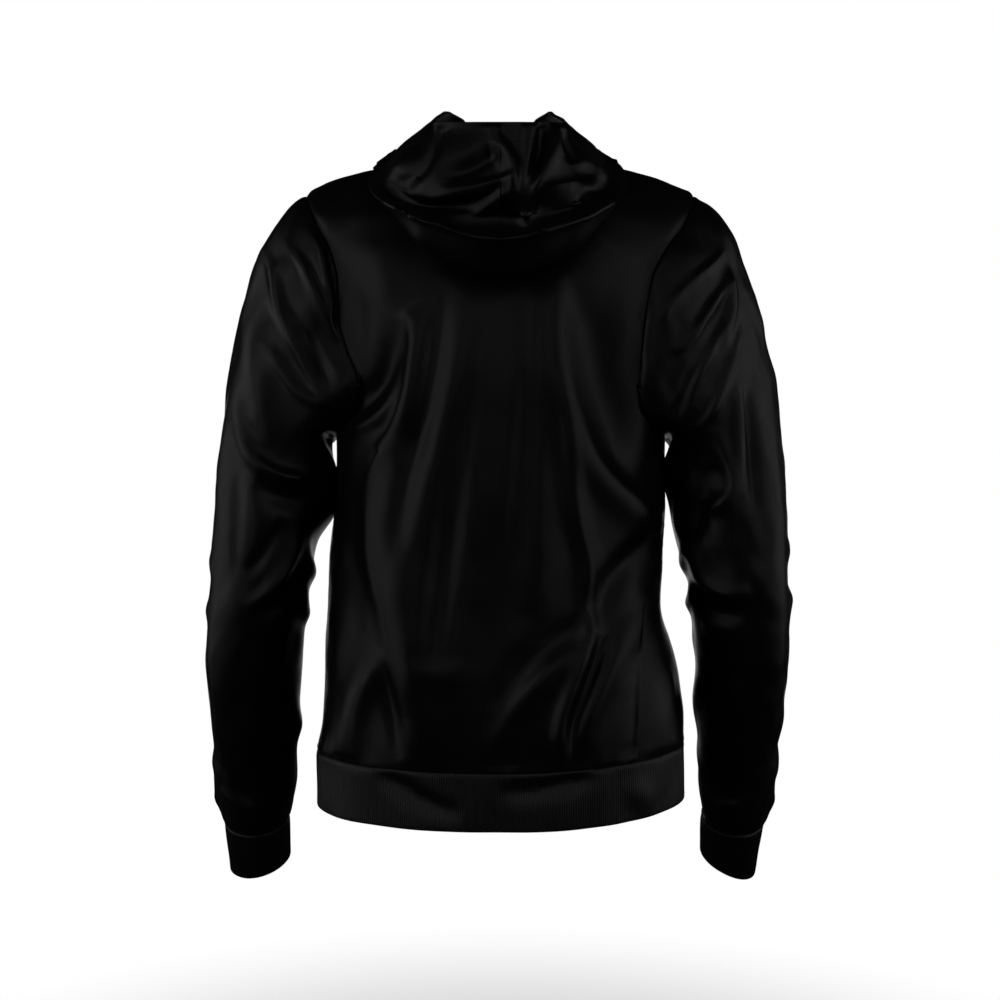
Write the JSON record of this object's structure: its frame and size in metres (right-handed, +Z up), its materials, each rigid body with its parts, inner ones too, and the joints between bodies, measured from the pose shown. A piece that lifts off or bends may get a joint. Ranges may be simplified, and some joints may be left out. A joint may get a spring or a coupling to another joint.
{
  "type": "hoodie",
  "caption": "Pullover hoodie filled out as if worn, its hood down on the back, with set-in sleeves, ribbed cuffs and a ribbed waistband.",
  "frame": {"origin": "middle of the neck opening at the height where the garment rests on the shoulders", "axes": "+Z up, +Y towards the front of the garment so its back faces -Y, +X towards the wearer's right"},
  "size_m": [0.614, 0.327, 0.8175],
  "materials": {
    "body_cloth": "smooth black brushed-back knit with a soft satin sheen",
    "rib_cloth": "black rib knit with fine upright ribs"
  },
  "bodies": {
    "root": {"back": "body_cloth", "front": "body_cloth", "sleeve_left": "body_cloth", "sleeve_right": "body_cloth", "cuff_left": "rib_cloth", "cuff_right": "rib_cloth", "waistband": "rib_cloth", "hood_left": "body_cloth", "hood_right": "body_cloth"}
  },
  "joints": []
}
